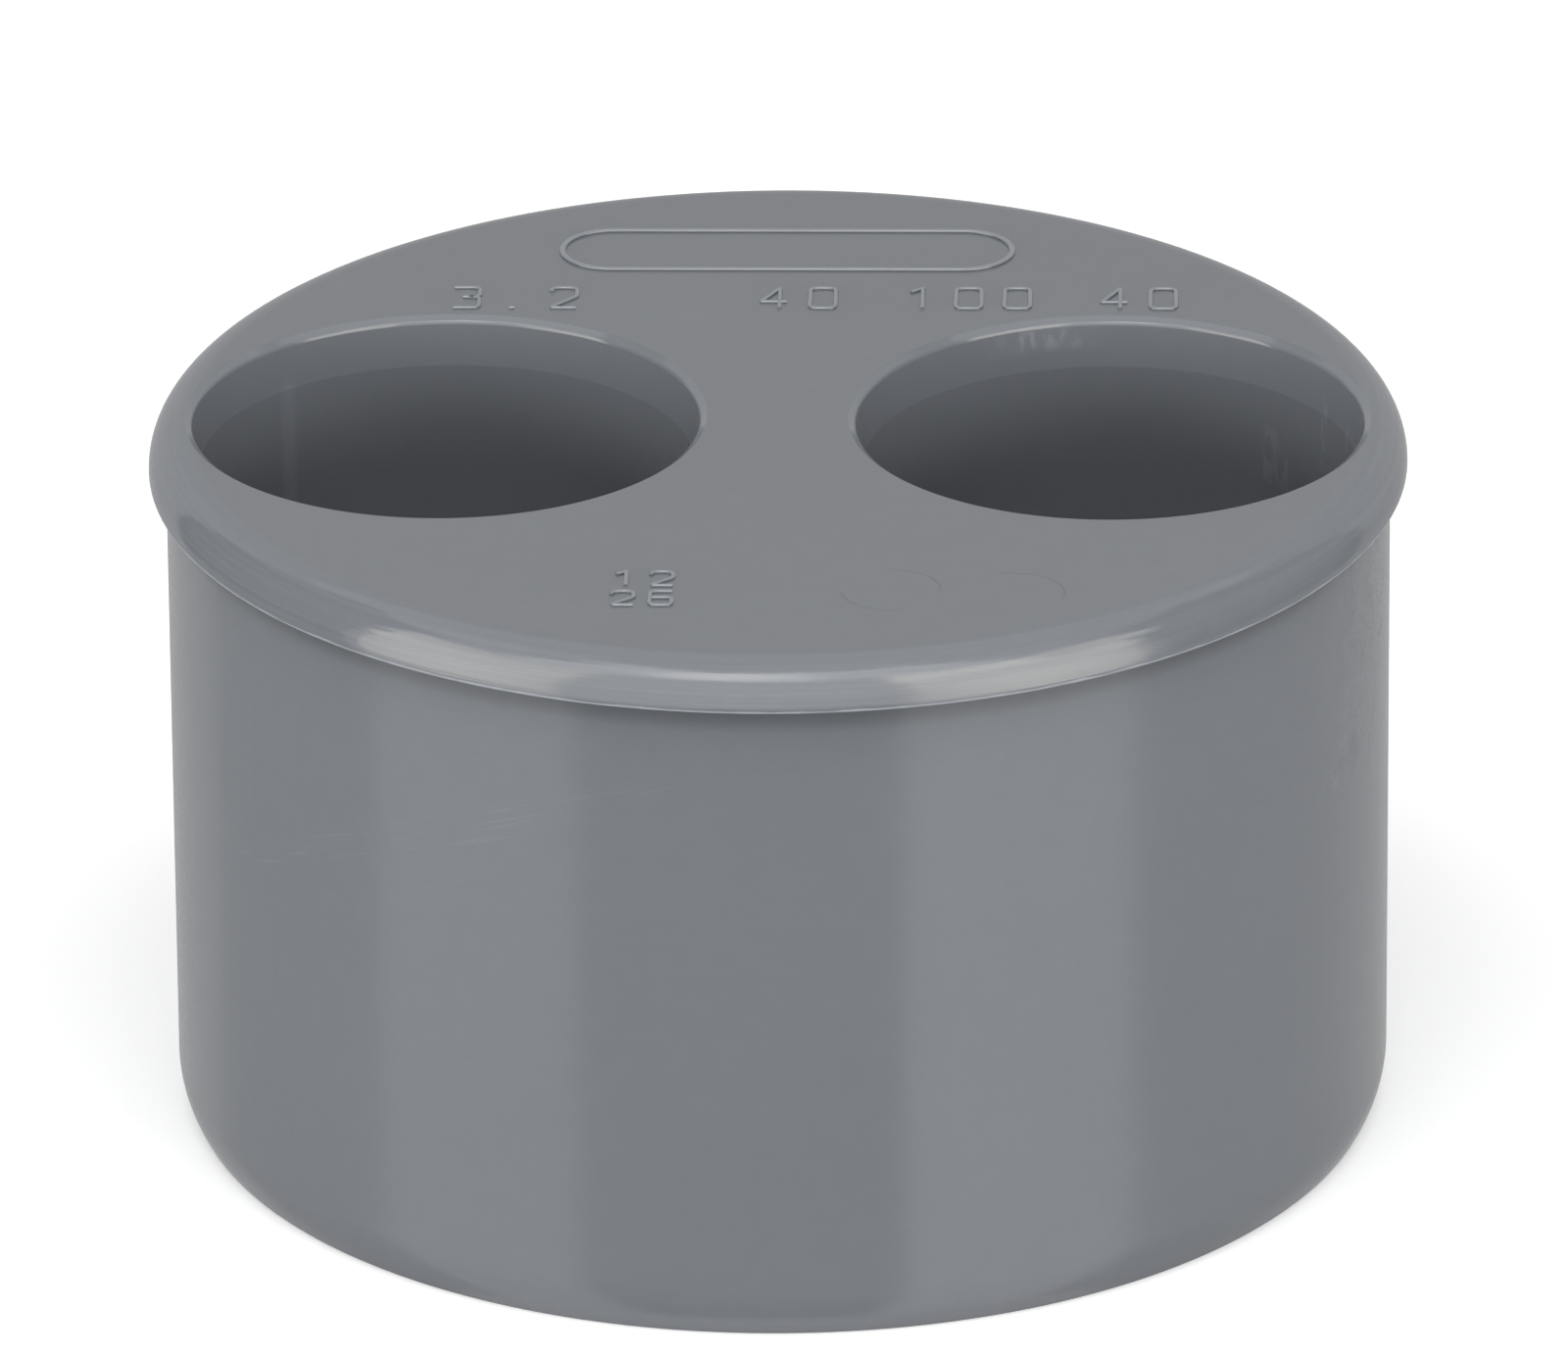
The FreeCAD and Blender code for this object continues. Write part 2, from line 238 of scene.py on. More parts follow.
def rounded_path(corners, step=ROUND_STEP):
    """Points along corners (x, y, radius), with an arc of that radius at each."""
    points = []
    for index, (x, y, radius) in enumerate(corners):
        corner = Vector((x, y))
        if radius == 0:
            points.append(corner)
            continue
        back = (Vector(corners[index - 1][:2]) - corner).normalized()
        ahead = (Vector(corners[index + 1][:2]) - corner).normalized()
        half = math.acos(max(-1.0, min(1.0, back.dot(ahead)))) / 2
        centre = corner + (back + ahead).normalized() * (radius / math.sin(half))
        first = corner + back * (radius / math.tan(half)) - centre
        turn = math.copysign(math.pi - 2 * half, -back.cross(ahead))
        count = max(2, math.ceil(abs(turn) / step))
        points += [centre + Matrix.Rotation(turn * n / count, 2) @ first for n in range(count + 1)]
    kept = [points[0]]
    for point in points[1:]:
        if (point - kept[-1]).length > SAME:
            kept.append(point)
    return kept


def mesh_object(name, mesh):
    """A new object that shows a mesh."""
    made = bpy.data.objects.new(name, mesh)
    bpy.context.scene.collection.objects.link(made)
    return made


def mesh_from(name, points, edges=(), faces=()):
    """A mesh from points in millimetres."""
    mesh = bpy.data.meshes.new(name)
    mesh.from_pydata([Vector(point) * MM for point in points], edges, faces)
    return mesh


def new_tree(name, inputs):
    """A Geometry Nodes tree with named inputs (name, socket type, default) and one output."""
    tree = bpy.data.node_groups.new(name, "GeometryNodeTree")
    tree.interface.new_socket("Form", in_out="INPUT", socket_type="NodeSocketGeometry")
    for label, kind, default in inputs:
        socket = tree.interface.new_socket(label, in_out="INPUT", socket_type=kind)
        if default is not None:
            socket.default_value = default
    tree.interface.new_socket("Made", in_out="OUTPUT", socket_type="NodeSocketGeometry")
    return tree, Graph(tree)


def finish_tree(graph, form, finish):
    """Ends a tree in real geometry that wears the finish."""
    real = graph.node("GeometryNodeRealizeInstances", {}, {"Geometry": form})
    worn = graph.node("GeometryNodeSetMaterial", {}, {"Geometry": real, "Material": finish})
    graph.node("NodeGroupOutput", {}, {0: worn})


def grown(name, mesh, tree, values):
    """The plain mesh that a tree makes from a mesh and its named values."""
    carrier = mesh_object(name + "_path", mesh)
    modifier = carrier.modifiers.new(tree.name, "NODES")
    modifier.node_group = tree
    for item in tree.interface.items_tree:
        if item.in_out == "INPUT" and item.name in values:
            modifier[item.identifier] = values[item.name]
    shown = carrier.evaluated_get(bpy.context.evaluated_depsgraph_get())
    made = bpy.data.meshes.new_from_object(shown)
    made.name = name
    bpy.data.objects.remove(carrier)
    return made


def turned_tree():
    """Turns a profile, points (distance from the axis, 0, height) in order, about an upright axis."""
    tree, graph = new_tree("turned_form", [
        ("Steps", "NodeSocketInt", 90),
        ("Axis X", "NodeSocketFloat", 0.0),
        ("Finish", "NodeSocketMaterial", None),
    ])
    given = graph.node("NodeGroupInput", {}, {})
    profile = given["Form"]
    size = graph.node("GeometryNodeAttributeDomainSize", {"component": "MESH"}, {"Geometry": profile})
    rows = size["Point Count"]
    grid = graph.node("GeometryNodeMeshGrid", {}, {"Vertices X": given["Steps"] + 1, "Vertices Y": rows})
    number = graph.node("GeometryNodeInputIndex", {}, {})
    column = graph.maths("FLOOR", (number + 0.5) / rows)
    row = number - column * rows
    spot = graph.node("GeometryNodeInputPosition", {}, {})
    sampled = graph.node("GeometryNodeSampleIndex", {"data_type": "FLOAT_VECTOR"},
                         {"Geometry": profile, "Value": spot, "Index": row})
    reach, _, height = sampled.split()
    turn = column * math.tau / given["Steps"]
    across = given["Axis X"] + reach * graph.maths("COSINE", turn)
    along = reach * graph.maths("SINE", turn)
    placed = graph.node("GeometryNodeSetPosition", {},
                        {"Geometry": grid, "Position": graph.vector(across, along, height)})
    closed = graph.node("GeometryNodeMergeByDistance", {}, {"Geometry": placed, "Distance": SAME * MM})
    finish_tree(graph, closed, given["Finish"])
    return tree


def raised_line_tree():
    """Runs a low ridge with sloping sides and a rounded crest along paths that lie on a face."""
    tree, graph = new_tree("raised_line", [
        ("Foot width", "NodeSocketFloat", 0.0006),
        ("Crest width", "NodeSocketFloat", 0.0003),
        ("Height", "NodeSocketFloat", 0.0003),
        ("Crest round", "NodeSocketFloat", 0.00015),
        ("Finish", "NodeSocketMaterial", None),
    ])
    given = graph.node("NodeGroupInput", {}, {})
    path = graph.node("GeometryNodeMeshToCurve", {}, {"Mesh": given["Form"]})
    upright = graph.node("GeometryNodeSetCurveNormal", {"mode": "Z_UP"}, {"Curve": path})
    ridge = graph.node("GeometryNodeCurvePrimitiveQuadrilateral", {"mode": "TRAPEZOID"}, {
        "Bottom Width": given["Foot width"], "Top Width": given["Crest width"], "Offset": 0.0,
        "Height": given["Height"]})
    soft = graph.node("GeometryNodeFilletCurve", {"mode": "POLY"}, {
        "Curve": ridge, "Count": RIDGE_ROUND_STEPS, "Radius": given["Crest round"],
        "Limit Radius": True})
    swept = graph.node("GeometryNodeCurveToMesh", {}, {
        "Curve": upright, "Profile Curve": soft, "Fill Caps": True})
    finish_tree(graph, swept, given["Finish"])
    return tree


def closed_mesh(mesh):
    """Caps a form's open rings and turns its faces outwards."""
    form = bmesh.new()
    form.from_mesh(mesh)
    bmesh.ops.remove_doubles(form, verts=form.verts, dist=SAME * MM)
    open_edges = [edge for edge in form.edges if edge.is_boundary]
    if open_edges:
        bmesh.ops.holes_fill(form, edges=open_edges, sides=0)
    bmesh.ops.recalc_face_normals(form, faces=form.faces)
    for face in form.faces:
        face.smooth = True
    form.to_mesh(mesh)
    form.free()


# Edges turned by more than this are sharp. Each face corner's shading is stored under a name,
# and a stored normal shorter than the last number was lost in a cut
SHARP = math.radians(28)
SHADE = "cut_normal"
LOST_NORMAL = 0.1


def keep_normals(mesh):
    """Stores how each face corner is shaded, so that later cuts leave the shading as it is."""
    mesh.set_sharp_from_angle(angle=SHARP)
    store = mesh.attributes.new(SHADE, "FLOAT_VECTOR", "CORNER")
    values = [part for corner in mesh.corner_normals for part in corner.vector]
    store.data.foreach_set("vector", values)


def shade_as_kept(mesh):
    """Shades a cut mesh by its stored normals. A cutter's faces were turned round by the cut."""
    store = mesh.attributes[SHADE].data
    normals = [Vector((0, 0, 1))] * len(mesh.loops)
    for face in mesh.polygons:
        for corner in face.loop_indices:
            normal = Vector(store[corner].vector)
            if normal.dot(face.normal) < 0:
                normal.negate()
            normals[corner] = normal.normalized() if normal.length > LOST_NORMAL else face.normal.copy()
    mesh.attributes.remove(mesh.attributes[SHADE])
    mesh.normals_split_custom_set(normals)


def turned(name, profile, steps, axis_x, tree, finish):
    """A closed turned form from a profile (distance from the axis, height)."""
    points = [(point.x, 0, point.y) for point in profile]
    path = mesh_from(name, points, [(n, n + 1) for n in range(len(points) - 1)])
    mesh = grown(name, path, tree, {"Steps": steps, "Axis X": axis_x * MM, "Finish": finish})
    closed_mesh(mesh)
    keep_normals(mesh)
    return mesh_object(name, mesh)


def plug_profile():
    """Outside of the plug from the top face down, round the open end and up inside the hollow."""
    tangent = (LEAD_IN_INSET**2 + LEAD_IN_HEIGHT**2) / (2 * LEAD_IN_HEIGHT)
    bend = math.asin(LEAD_IN_INSET / tangent)
    lead_round = (tangent - 2 * EDGE_ROUND) / math.tan(bend / 2)
    end_r = SPIGOT_R - END_WALL
    roof_r = SPIGOT_R - ROOF_WALL
    return rounded_path([
        (RIM_R - RIM_ROUND - HOLD, TOP, 0),
        (RIM_R, TOP, RIM_ROUND),
        (RIM_R, RIM_BOTTOM, RIM_LOWER_ROUND),
        (SPIGOT_R, RIM_BOTTOM, RIM_ROOT_ROUND),
        (SPIGOT_R, LEAD_IN_HEIGHT - tangent, lead_round),
        (SPIGOT_R - LEAD_IN_INSET, 0, EDGE_ROUND),
        (end_r + END_CHAMFER, 0, EDGE_ROUND),
        (end_r, END_CHAMFER, EDGE_ROUND),
        (roof_r, TUBE_END, EDGE_ROUND),
        (roof_r - 2 * EDGE_ROUND, TUBE_END, 0),
    ])


def socket_profile():
    """What a socket takes out of the plug, from below the stop to above the mouth."""
    mouth_slope = MOUTH_WIDTH / MOUTH_DEPTH
    return rounded_path([
        (STOP_R + TUBE_END_ROUND, TUBE_END - PAST, 0),
        (STOP_R + TUBE_END_ROUND, TUBE_END, 0),
        (STOP_R, TUBE_END, TUBE_END_ROUND),
        (STOP_R, STOP_TOP, EDGE_ROUND),
        (SOCKET_R, STOP_TOP, STOP_ROOT_ROUND),
        (SOCKET_R, LEAD_BOTTOM, PAST),
        (LEAD_R, TOP - MOUTH_DEPTH, MOUTH_ROUND),
        (MOUTH_R + mouth_slope * PAST, TOP + PAST, 0),
    ])


def arc_points(x, y, radius, first, last):
    """Points on an arc from one angle to another, without the last one."""
    count = max(2, math.ceil(abs(last - first) / POCKET_STEP))
    turns = [first + (last - first) * n / count for n in range(count)]
    return [(x + radius * math.cos(turn), y + radius * math.sin(turn)) for turn in turns]


def pocket_outline(grow):
    """Outline of the back pocket, made larger all round by grow."""
    near_y = WEB_HALF + POCKET_CORNER
    near_x = SOCKET_X - math.sqrt((TUBE_R + POCKET_CORNER)**2 - near_y**2)
    wall_gap = POCKET_R - POCKET_CORNER
    far_x = (wall_gap**2 + SOCKET_X**2 - (TUBE_R + POCKET_CORNER)**2) / (2 * SOCKET_X)
    far_y = math.sqrt(wall_gap**2 - far_x**2)
    near_turn = math.atan2(near_y, SOCKET_X - near_x)
    far_turn = math.atan2(far_y, far_x - SOCKET_X)
    wall_turn = math.atan2(far_y, far_x)
    corner = POCKET_CORNER + grow
    half = [
        *arc_points(near_x, near_y, corner, -math.pi / 2, -near_turn),
        *arc_points(SOCKET_X, 0, TUBE_R - grow, math.pi - near_turn, far_turn),
        *arc_points(far_x, far_y, corner, far_turn - math.pi, wall_turn),
        *arc_points(0, 0, POCKET_R + grow, wall_turn, math.pi / 2),
    ]
    top = (0.0, POCKET_R + grow)
    return [*half, top, *[(-x, y) for x, y in reversed(half)]]


def pocket_form(name, side):
    """What one side pocket takes out of the plug; side is 1 at the back and -1 at the front."""
    rise = rounded_path([
        (TUBE_END_ROUND, TUBE_END - PAST, 0),
        (TUBE_END_ROUND, TUBE_END, 0),
        (0, TUBE_END, TUBE_END_ROUND),
        (0, PLATE_BOTTOM, POCKET_ROOT_ROUND),
        (-POCKET_ROOT_ROUND - HOLD, PLATE_BOTTOM, 0),
    ])
    rings = [[(side * x, side * y, step.y) for x, y in pocket_outline(step.x)] for step in rise]
    count = len(rings[0])
    faces = []
    for level in range(len(rings) - 1):
        for n in range(count):
            start = level * count + n
            after = level * count + (n + 1) % count
            faces.append((start, after, after + count, start + count))
    mesh = mesh_from(name, [point for ring in rings for point in ring], (), faces)
    closed_mesh(mesh)
    keep_normals(mesh)
    return mesh_object(name, mesh)


def moulded_body(finish):
    """The moulding: the plug, less its sockets and side pockets."""
    tree = turned_tree()
    body = turned("bushing_moulding", plug_profile(), PLUG_STEPS, 0, tree, finish)
    cutters = [
        turned("socket_left", socket_profile(), SOCKET_STEPS, -SOCKET_X, tree, finish),
        turned("socket_right", socket_profile(), SOCKET_STEPS, SOCKET_X, tree, finish),
        pocket_form("pocket_back", 1),
        pocket_form("pocket_front", -1),
    ]
    for cutter in cutters:
        cut = body.modifiers.new("cut_" + cutter.name, "BOOLEAN")
        cut.operation = "DIFFERENCE"
        cut.solver = "EXACT"
        cut.object = cutter
    depsgraph = bpy.context.evaluated_depsgraph_get()
    mesh = bpy.data.meshes.new_from_object(body.evaluated_get(depsgraph), depsgraph=depsgraph,
                                           preserve_all_data_layers=True)
    body.modifiers.clear()
    for cutter in cutters:
        bpy.data.objects.remove(cutter)
    shade_as_kept(mesh)
    mesh.materials.clear()
    mesh.materials.append(finish)
    body.data = mesh
    return body


# Raised marks on the top face: a border with round ends, and plain numbers
BORDER_LENGTH = 38.2
BORDER_WIDTH = 9.1
BORDER_LINE = 0.7
BORDER_CREST = 0.35
BORDER_INSET = 10.4
BORDER_Y = SPIGOT_R - BORDER_INSET - BORDER_WIDTH / 2
SIGN_LINE = 0.6
SIGN_CREST = 0.25
SIGN_HEIGHT = 0.22
MARK_SINK = 0.1

# Rows of signs, by the name of their piece: how wide, tall and far apart the signs are, and the
# text of each row with the place where it starts
SIGN_ROWS = {
    "size_numbers": ({"width": 2.1, "height": 4.3, "pitch": 4.03},
                     [("3.2", -27.4, 22.5), ("40 100 40", -1.9, 22.5)]),
    "mould_number": ({"width": 1.75, "height": 2.75, "pitch": 3.05},
                     [("12", -12.4, -35.0), ("26", -12.4, -38.9)]),
}

# Strokes of each sign: corners (x, y, rounding), in a box one wide and one high
STROKES = {
    "0": [[(0.5, 0, 0), (1, 0, 0.6), (1, 1, 0.6), (0, 1, 0.6), (0, 0, 0.6), (0.5, 0, 0)]],
    "1": [[(0.15, 0.8, 0), (0.6, 1, 0.05), (0.6, 0, 0)]],
    "2": [[(0, 0.8, 0), (0, 1, 0.6), (1, 1, 0.6), (1, 0.56, 0.5), (0, 0, 0.1), (1, 0, 0)]],
    "3": [[(0, 1, 0), (1, 1, 0.5), (1, 0.53, 0.5), (0.35, 0.53, 0)],
          [(0.6, 0.53, 0), (1, 0.53, 0.5), (1, 0, 0.5), (0, 0, 0)]],
    "4": [[(0.72, 0, 0), (0.72, 1, 0.05), (0, 0.32, 0.05), (1, 0.32, 0)]],
    "6": [[(1, 1, 0), (0, 1, 0.5), (0, 0, 0.5), (1, 0, 0.5), (1, 0.55, 0.4), (0.1, 0.55, 0)]],
    ".": [[(0.3, 0, 0), (0.5, 0, 0)]],
}


def number_paths(text, start_x, base_y, width, height, pitch):
    """Paths of a row of signs on the top face, from the foot of the first one."""
    paths = []
    for index, sign in enumerate(text):
        left = start_x + index * pitch
        for stroke in STROKES.get(sign, []):
            corners = [(left + x * width, base_y + y * height, r) for x, y, r in stroke]
            paths.append([tuple(point) for point in rounded_path(corners, LETTER_STEP)])
    return paths


def border_path():
    """Middle line of the border."""
    radius = (BORDER_WIDTH - BORDER_LINE) / 2
    end_x = BORDER_LENGTH / 2 - BORDER_WIDTH / 2
    half_turn = math.pi / 2
    right = arc_points(end_x, BORDER_Y, radius, -half_turn, half_turn)
    left = arc_points(-end_x, BORDER_Y, radius, half_turn, 3 * half_turn)
    points = [*right, (end_x, BORDER_Y + radius), *left, (-end_x, BORDER_Y - radius)]
    return [*points, points[0]]


def raised(name, paths, foot, crest, height, tree, finish):
    """Raised lines along paths, standing out of the top face by height."""
    middle = TOP + (height - MARK_SINK) / 2
    points = []
    edges = []
    for path in paths:
        closed = math.dist(path[0], path[-1]) < SAME
        first = len(points)
        points += [(x, y, middle) for x, y in (path[:-1] if closed else path)]
        edges += [(n, n + 1) for n in range(first, len(points) - 1)]
        if closed:
            edges.append((len(points) - 1, first))
    values = {"Foot width": foot * MM, "Crest width": crest * MM,
              "Height": (height + MARK_SINK) * MM, "Finish": finish}
    mesh = grown(name, mesh_from(name, points, edges), tree, values)
    closed_mesh(mesh)
    mesh.set_sharp_from_angle(angle=SHARP)
    return mesh_object(name, mesh)


def raised_marks(finish):
    """The border, the size numbers and the mould number."""
    tree = raised_line_tree()
    border = raised("raised_border", [border_path()], BORDER_LINE, BORDER_CREST, BORDER_HEIGHT,
                    tree, finish)
    marks = [border]
    for name, (signs, rows) in SIGN_ROWS.items():
        paths = [path for row in rows for path in number_paths(*row, **signs)]
        marks.append(raised(name, paths, SIGN_LINE, SIGN_CREST, SIGN_HEIGHT, tree, finish))
    return marks


# The plastic: its grey, and how rough it is on the satin wall and on the polished top and rim
PVC_GREY = (0.17, 0.1807, 0.1974)
PVC_IOR = 1.53
SATIN = 0.17
POLISH = 0.07

# Where the parts of the surface start and where they are full: heights, or distances from the
# axis of the plug
WALL_REACH = (SPIGOT_R - 1.5, SPIGOT_R - 1.0)
WALL_HEIGHTS = (RIM_BOTTOM, RIM_BOTTOM - 0.2)
POLISH_HEIGHTS = (RIM_BOTTOM - 0.1, RIM_BOTTOM + 0.02)
RIM_ROUND_REACH = (RIM_R - RIM_ROUND, RIM_R - 1.5)
# Painted shade on the raised marks, darker from their foot up, and a painted highlight on their crests
MARK_SHADE_HEIGHTS = (TOP - 0.02, TOP + 0.03)
MARK_HIGHLIGHT_HEIGHTS = (TOP + 0.1, TOP + 0.2)
# Painted shade on the wall just under the rim's overhang
UNDER_RIM_SHADE_HEIGHTS = (RIM_BOTTOM - 2.4, RIM_BOTTOM - 0.5)

# How much paler each look makes the grey, or darker below 0
PALER = {
    "cloud": 0.06, "haze": 0.05, "grain": 0.04, "around": 0.03, "brushed": 0.3,
    "scratched": 0.12, "rubbed": 0.14, "smeared": -0.14, "streaked": 1.0,
    # The raised marks get painted shade on their sides and a painted highlight on their crests
    "mark foot": -0.12, "mark crest": 0.5, "insert arcs": -0.14,
    # Painted shade on the wall under the rim
    # The parting line is also a painted highlight along the rim's lower edge
    "parting line": 0.9, "rim corner": -0.32,
    # Painted highlight on the mouths' chamfers
    # Painted shade low in the sockets
    "mouth edge": 0.1, "in sockets": 0.1, "deep in sockets": -0.34,
}

# How much rougher each look makes it
ROUGHER = {
    "haze": 0.04, "around": 0.04, "polished haze": -0.01, "polished around": -0.01,
    "rubbed": 0.2, "streaked": 0.6,
}

# How far each look stands out of the surface, or sinks into it below 0 (mm)
HIGHER = {
    "haze": 0.004, "grain": 0.0022, "around": 0.003, "polished around": 0.006, "brushed": 0.016,
    "scratched": -0.003, "insert arcs": -0.04,
}

# Waves to a millimetre of the looks that are all over: one number, or along X, Y and Z
CLOUD_WAVES = 0.045
HAZE_WAVES = 0.5
GRAIN_WAVES = 2.2
AROUND_WAVES = (0.03, 0.03, 3.2)

# Handling marks on the front of the spigot, as bands of fine scratches that rise to the right:
# arc length from the front where a band starts and ends, height at its start, half width (mm).
# Here and below, SHOWS gives the value of the noise where a mark starts to show, and the value
# where it shows in full
SCRATCH_RISE = 0.365
SCRATCH_BANDS = [
    (-53.0, -9.0, 31.7, 0.9),
    (-40.5, -26.0, 31.6, 0.5),
    (-36.0, -12.0, 39.3, 0.35),
]
SCRATCH_FADE = 3.0
SCRATCH_WAVES_ALONG = 0.11
SCRATCH_WAVES_ACROSS = 3.2
SCRATCH_SHOWS = (0.04, 0.18)

# Rubbed side of the wall: angles from the front and heights, and how softly both end
SCUFF_ANGLES = (69.5, 78.0, 5.0)
SCUFF_HEIGHTS = (38.0, 53.0, 6.0)
SCUFF_BEND = 3.5
SCUFF_BEND_HEIGHTS = (46.0, 35.0)
RUB_WAVES = 0.5
RUB_SHOWS = (-0.04, 0.22)
SMEAR_WAVES = (0.6, 0.6, 0.25)
SMEAR_SHOWS = (-0.02, 0.14)

# Arcs left by two round inserts of the mould on the top face: centre, radius (mm), and the
# angles where an arc starts and ends, counted from +X
INSERT_ARCS = [
    (9.8, -35.6, 4.0, -160.0, -85.0),
    (9.8, -35.6, 4.0, 10.0, 80.0),
    (19.7, -36.2, 4.0, 0.0, 100.0),
]
ARC_HALF = 0.06
ARC_BLUR = 0.12
ARC_END_BLUR = 25.0

# Parting line of the mould along the rim's lower edge, painted so pale that it is also a painted
# highlight on that edge: from and to a height above the rim's lower edge and how softly it ends, how
# far it strays up and down (mm), and the waves to a millimetre of both unevennesses
PARTING = (0.03, 0.22, 0.06)
PARTING_STRAY = 0.3
PARTING_STRAY_WAVES = 0.25
PARTING_UNEVEN_WAVES = 0.6
PARTING_REACH = (RIM_R - 0.25, RIM_R - 0.15)

# Streaks in the sockets: from and to an angle about the socket's axis and how softly it ends,
# from and to a height, share that is ragged, how much paler. The last one in the right socket is
# no streak but a painted highlight on the back of its lead-in
LEFT_STREAKS = [(-138.0, -136.5, 2.4, 45.5, 55.5, 0.2, 0.15)]
RIGHT_MARKS_AND_SHEEN = [
    (134.0, 141.0, 0.8, 47.5, 51.5, 1.0, 0.15),
    (118.5, 120.5, 0.8, 51.0, 56.6, 0.8, 0.15),
    (105.0, 108.0, 0.8, 54.6, 55.6, 0.6, 0.15),
    # A painted highlight, not a streak: a paler patch on the back of the lead-in
    (-168.0, -161.0, 14.0, 57.6, 58.2, 0.7, 0.3),
]
STREAK_END_BLUR = 1.0
STREAK_TOP = (TOP, TOP - 0.3)
RAG_WAVES = (1.2, 1.2, 0.5)
RAG_SHOWS = (-0.04, 0.1)

# Painted highlight on the mouths' chamfers: from and to a distance from the socket's axis and how
# softly it ends, and the height where it starts. Then where the inside of a socket starts, and where
# the painted shade low in a socket starts and where it is darkest
MOUTH_HIGHLIGHT_REACH = (LEAD_R + 0.15, MOUTH_R - 0.1, 0.1)
MOUTH_HIGHLIGHT_HEIGHTS = (TOP + 0.02, TOP - 0.02)
INSIDE_REACH = (LEAD_R + 0.15, LEAD_R + 0.05)
# Painted shade: the sockets get darker from the foot of the lead-in down
SOCKET_SHADE_HEIGHTS = (LEAD_BOTTOM, STOP_TOP + 12.0)


def scratches(graph, angle, z):
    """How strongly fine scratches show on the wall; angle is measured from the front."""
    arc = angle * math.radians(SPIGOT_R)
    shown = 0.0
    for start, end, height, half in SCRATCH_BANDS:
        across = z - (arc - start) * SCRATCH_RISE - height
        spot = graph.vector(arc * SCRATCH_WAVES_ALONG, across * SCRATCH_WAVES_ACROSS, 0.0)
        lines = graph.fade(graph.noise(spot, 3.0, 0.6), *SCRATCH_SHOWS)
        band = graph.between(across, -half, half, half) * graph.between(arc, start, end, SCRATCH_FADE)
        shown = shown + lines * band
    return shown


def scuffs(graph, place, angle, z):
    """Rubbed patches on the right side of the wall, below the rim: pale ones and dark smears."""
    bent = angle + graph.fade(z, *SCUFF_BEND_HEIGHTS) * SCUFF_BEND
    band = graph.between(bent, *SCUFF_ANGLES) * graph.between(z, *SCUFF_HEIGHTS)
    pale = graph.fade(graph.noise(place * RUB_WAVES, 5.0, 0.62), *RUB_SHOWS)
    dark = graph.fade(graph.noise(place * SMEAR_WAVES, 5.0, 0.65), *SMEAR_SHOWS)
    return pale * band, dark * band


def insert_arcs(graph, x, y):
    """Thin lines where round inserts of the mould met its top plate."""
    lines = 0.0
    for centre_x, centre_y, radius, start, end in INSERT_ARCS:
        over = x - centre_x
        up = y - centre_y
        away = graph.maths("SQRT", over * over + up * up)
        turn = graph.maths("ARCTAN2", up, over) * math.degrees(1)
        line = graph.between(away, radius - ARC_HALF, radius + ARC_HALF, ARC_BLUR)
        lines = lines + line * graph.between(turn, start, end, ARC_END_BLUR)
    return lines


def mould_seam_and_highlight(graph, place, z, reach):
    """The thin pale line of the mould's parting along the rim's lower edge, also a painted highlight on
    that edge.
    """
    stray = graph.noise(place * PARTING_STRAY_WAVES, 2.0) * PARTING_STRAY
    line = graph.between(z - RIM_BOTTOM + stray, *PARTING)
    uneven = graph.noise(place * PARTING_UNEVEN_WAVES, 3.0) + 1.0
    return line * graph.fade(reach, *PARTING_REACH) * uneven


def around_sockets(graph, x, y):
    """For each socket: the angle about its axis and the distance from it."""
    for centre in (-SOCKET_X, SOCKET_X):
        turn = graph.maths("ARCTAN2", x - centre, -1.0 * y) * math.degrees(1)
        yield turn, graph.maths("SQRT", (x - centre) ** 2.0 + y * y)


def socket_marks_and_sheen(graph, place, x, y, z):
    """Pale streaks where pipes were tried in the sockets, and a painted highlight on the right socket's
    lead-in.
    """
    ragged = graph.fade(graph.noise(place * RAG_WAVES, 3.0), *RAG_SHOWS)
    marks = 0.0
    for (turn, reach), streaks in zip(around_sockets(graph, x, y), (LEFT_STREAKS, RIGHT_MARKS_AND_SHEEN)):
        wall = graph.fade(reach, MOUTH_R, LEAD_R) * graph.fade(z, *STREAK_TOP)
        for first, last, soft, low, high, worn, paler in streaks:
            band = graph.between(turn, first, last, soft) * graph.between(z, low, high, STREAK_END_BLUR)
            marks = marks + band * wall * (ragged * worn + (1 - worn)) * paler
    return marks


def socket_parts(graph, x, y, z):
    """Where the painted highlight on the mouths' chamfers goes, where it is inside a socket, and where
    the painted shade low in a socket goes.
    """
    below_top = graph.fade(z, *MOUTH_HIGHLIGHT_HEIGHTS)
    # Painted shade, darker deeper down in the sockets
    depth = graph.fade(z, *SOCKET_SHADE_HEIGHTS)
    edges = 0.0
    inside = 0.0
    for _, reach in around_sockets(graph, x, y):
        # Painted highlight on the mouth's chamfer
        edges = edges + graph.between(reach, *MOUTH_HIGHLIGHT_REACH) * below_top
        inside = inside + graph.fade(reach, *INSIDE_REACH)
    return edges, inside, inside * depth


